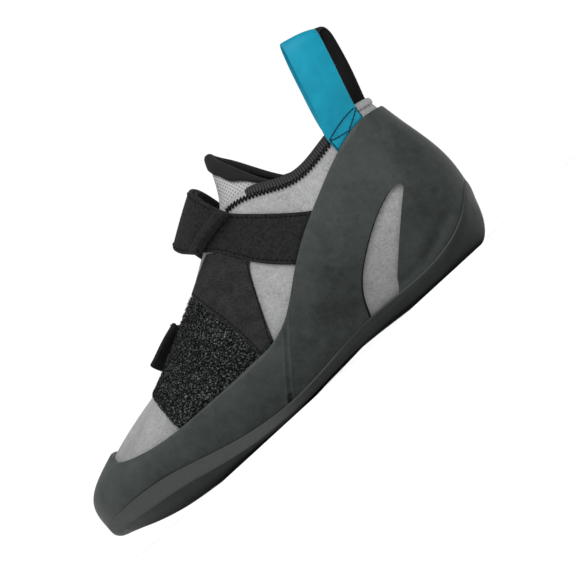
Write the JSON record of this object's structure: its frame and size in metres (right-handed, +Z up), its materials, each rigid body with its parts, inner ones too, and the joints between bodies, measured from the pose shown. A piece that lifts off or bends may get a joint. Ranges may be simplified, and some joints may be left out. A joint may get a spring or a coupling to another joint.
{
  "type": "climbing shoe",
  "caption": "Left climbing shoe with a rubber sole and rand over a suede upper, hook-and-loop straps across the instep, a soft tongue and webbing pull loops at the heel.",
  "frame": {"origin": "centre of the shoe's box, on the plane that the sole stands on", "axes": "+X from heel to toe, +Y to the outer side of the foot, +Z up"},
  "size_m": [0.2592, 0.0986, 0.1362],
  "materials": {
    "sole_rubber": "matte",
    "rand_rubber": "satin",
    "suede": "nap",
    "tongue_knit": "matte",
    "microfibre": "matte",
    "loop_pile": "pile",
    "binding_knit": "knit",
    "webbing_blue": "woven",
    "webbing_black": "woven",
    "footbed": "matte"
  },
  "bodies": {
    "root": {"outsole": "sole_rubber", "insole": "footbed", "upper": "suede", "rand_front": "rand_rubber", "rand_heel": "rand_rubber", "tongue": "tongue_knit", "instep_panel": "microfibre", "loop_patch": "loop_pile", "strap_upper_base": "microfibre", "strap_upper": "microfibre", "strap_front": "microfibre", "collar_binding": "binding_knit", "pull_loop_lateral": "webbing_blue", "pull_loop_medial": "webbing_black"}
  },
  "joints": []
}
